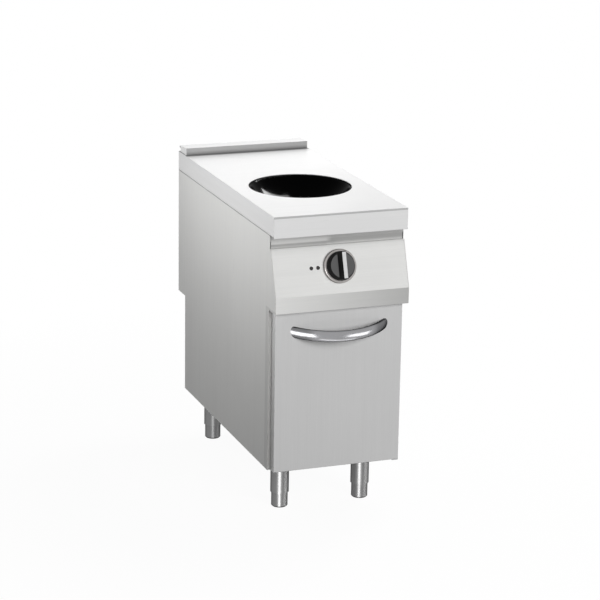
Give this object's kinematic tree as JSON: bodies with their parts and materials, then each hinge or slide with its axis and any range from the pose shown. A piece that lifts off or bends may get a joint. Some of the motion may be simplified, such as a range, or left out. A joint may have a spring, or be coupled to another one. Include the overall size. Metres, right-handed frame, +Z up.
{
  "type": "induction wok stove",
  "caption": "Free-standing induction wok stove: steel cabinet on legs, round black glass bowl sunk in the worktop, inclined panel with a knob, cupboard door with a bowed handle.",
  "frame": {"origin": "on the floor, below the middle of the bounding box", "axes": "+X to the right seen from the front, +Y from the front to the rear, +Z up"},
  "size_m": [0.4, 0.9374, 0.9215],
  "materials": {
    "worktop_steel": "satin, fine grain along the width",
    "ledge_steel": "satin, darker front face",
    "panel_steel": "satin, fine grain",
    "door_steel": "satin, fine upright grain",
    "inner_steel": "plain mill finish",
    "filter_aluminium": "plain",
    "fastener_steel": "plain",
    "stud_brass": "plain",
    "bright_steel": "polished",
    "leg_steel": "polished tube",
    "foot_steel": "polished, slightly worn",
    "bezel_chrome": "bright",
    "knob_grey": "fine texture",
    "pointer_silver": "bright",
    "lamp_dark": "unlit lens",
    "inner_plastic": "moulded",
    "bush_plastic": "moulded",
    "board_green": "lacquered board",
    "black_rubber": "matt",
    "black_glass": "gloss",
    "coil_copper": "lacquered winding",
    "ferrite": "matt",
    "sink_aluminium": "extruded",
    "gland_grey": "moulded"
  },
  "bodies": {
    "cabinet": {"worktop": "worktop_steel", "rear_ledge": "ledge_steel", "right_side_panel": "panel_steel", "left_side_panel": "panel_steel", "front_rail": "panel_steel", "control_panel": "panel_steel", "rear_cover": "panel_steel", "back_panel": "inner_steel", "floor_pan": "inner_steel", "equipment_tray": "inner_steel", "door_header": "inner_steel", "generator_box": "inner_steel", "generator_cover": "inner_steel", "exhaust_duct": "inner_steel", "coil_bridge": "inner_steel", "bowl_clamp_ring": "inner_steel", "hinge_plates": "inner_steel", "intake_filter": "filter_aluminium", "rear_cover_screws": "fastener_steel", "hinge_pins": "fastener_steel", "leg_bolts": "fastener_steel", "bowl_studs": "fastener_steel", "bowl_nuts": "fastener_steel", "bonding_stud": "stud_brass", "temperature_sensor": "fastener_steel", "knob_bezel": "bezel_chrome", "indicator_lamps": "lamp_dark", "selector_switch": "inner_plastic", "control_board": "board_green", "power_board": "board_green", "magnet_catch": "bush_plastic", "door_bumpers": "black_rubber", "bowl_seal": "black_rubber", "wok_bowl": "black_glass", "induction_coil": "coil_copper", "coil_carrier": "inner_plastic", "ferrite_bars": "ferrite", "heat_sink": "sink_aluminium", "fan_housing": "inner_plastic", "cable_gland": "gland_grey", "terminal_block": "bush_plastic", "leg_front_left": "leg_steel", "leg_front_right": "leg_steel", "leg_rear_left": "leg_steel", "leg_rear_right": "leg_steel"},
    "door": {"door_skin": "door_steel", "door_liner": "inner_steel", "door_handle": "bright_steel", "handle_screws": "fastener_steel", "hinge_bushes": "bush_plastic", "strike_plate": "inner_steel"},
    "knob": {"control_knob": "knob_grey", "knob_pointer": "pointer_silver", "selector_shaft": "fastener_steel"},
    "fan": {"fan_impeller": "inner_plastic"},
    "foot_front_left": {"foot_front_left": "foot_steel"},
    "foot_front_right": {"foot_front_right": "foot_steel"},
    "foot_rear_left": {"foot_rear_left": "foot_steel"},
    "foot_rear_right": {"foot_rear_right": "foot_steel"}
  },
  "joints": [
    {"name": "door_hinge", "type": "hinge", "parent": "cabinet", "child": "door", "pos_m": [0.18305, -0.39526, 0.388], "axis": [0, 0, 1], "range_deg": [0, 105]},
    {"name": "knob_turn", "type": "hinge", "parent": "cabinet", "child": "knob", "pos_m": [-0.003, -0.40629, 0.74525], "axis": [0, 0.9472, -0.3206], "range_deg": [0, 270]},
    {"name": "fan_spin", "type": "hinge", "parent": "cabinet", "child": "fan", "pos_m": [0, -0.03537, 0.6757], "axis": [0, 1, 0], "continuous": true},
    {"name": "foot_screw_front_left", "type": "slide", "parent": "cabinet", "child": "foot_front_left", "axis": [0, 0, -1], "range_m": [0, 0.03]},
    {"name": "foot_screw_front_right", "type": "slide", "parent": "cabinet", "child": "foot_front_right", "axis": [0, 0, -1], "range_m": [0, 0.03]},
    {"name": "foot_screw_rear_left", "type": "slide", "parent": "cabinet", "child": "foot_rear_left", "axis": [0, 0, -1], "range_m": [0, 0.03]},
    {"name": "foot_screw_rear_right", "type": "slide", "parent": "cabinet", "child": "foot_rear_right", "axis": [0, 0, -1], "range_m": [0, 0.03]}
  ]
}
